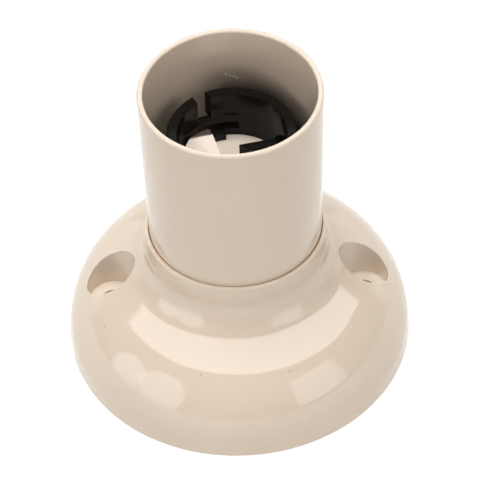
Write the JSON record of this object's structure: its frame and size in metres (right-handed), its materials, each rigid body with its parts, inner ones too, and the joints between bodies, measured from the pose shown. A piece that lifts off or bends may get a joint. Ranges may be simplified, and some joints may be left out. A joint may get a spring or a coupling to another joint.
{
  "type": "batten lamp holder",
  "caption": "Cream batten lamp holder: domed base with two fixing wells, a long skirt tube and a black bayonet sleeve with sprung leaf contacts.",
  "frame": {"origin": "centre of the base's back face, where it meets the wall or ceiling", "axes": "+Z out of the wall along the lamp's axis, X through the two fixing wells"},
  "size_m": [0.0754, 0.0754, 0.0714],
  "materials": {
    "cream_plastic": "glossy cream moulding",
    "black_plastic": "glossy black moulding",
    "plated_bronze": "bright plated bronze strip",
    "brass": "plain brass",
    "brass_screw": "turned brass",
    "zinc_steel": "zinc-plated steel"
  },
  "bodies": {
    "housing": {"base_dome": "cream_plastic", "lamp_tube": "cream_plastic", "bayonet_sleeve": "black_plastic", "terminal_block": "black_plastic", "contact_post_left": "brass", "contact_post_right": "brass", "terminal_left": "brass", "terminal_right": "brass", "terminal_loop": "brass", "terminal_earth": "brass", "tube_screw_front": "zinc_steel", "tube_screw_back": "zinc_steel", "sleeve_screw_front": "zinc_steel", "sleeve_screw_back": "zinc_steel"},
    "contact_left": {"contact_left": "plated_bronze"},
    "contact_right": {"contact_right": "plated_bronze"},
    "terminal_screw_left": {"terminal_screw_left": "brass_screw"},
    "terminal_screw_right": {"terminal_screw_right": "brass_screw"},
    "terminal_screw_loop": {"terminal_screw_loop": "brass_screw"},
    "terminal_screw_earth": {"terminal_screw_earth": "brass_screw"}
  },
  "joints": [
    {"name": "contact_left_press", "type": "hinge", "parent": "housing", "child": "contact_left", "pos_m": [0.0009, -0.00462, 0.0482], "axis": [-0.9816, -0.1908, 0], "range_deg": [0, 13.5], "stiffness_Nm_per_rad": 0.1, "springref_deg": -11.46},
    {"name": "contact_right_press", "type": "hinge", "parent": "housing", "child": "contact_right", "pos_m": [-0.0009, 0.00462, 0.0482], "axis": [0.9816, 0.1908, 0], "range_deg": [0, 13.5], "stiffness_Nm_per_rad": 0.1, "springref_deg": -11.46},
    {"name": "terminal_screw_left_travel", "type": "slide", "parent": "housing", "child": "terminal_screw_left", "axis": [0, 0, 1], "range_m": [0, 0.003]},
    {"name": "terminal_screw_right_travel", "type": "slide", "parent": "housing", "child": "terminal_screw_right", "axis": [0, 0, 1], "range_m": [0, 0.003]},
    {"name": "terminal_screw_loop_travel", "type": "slide", "parent": "housing", "child": "terminal_screw_loop", "axis": [0, 0, 1], "range_m": [0, 0.003]},
    {"name": "terminal_screw_earth_travel", "type": "slide", "parent": "housing", "child": "terminal_screw_earth", "axis": [0, 0, 1], "range_m": [0, 0.003]}
  ]
}
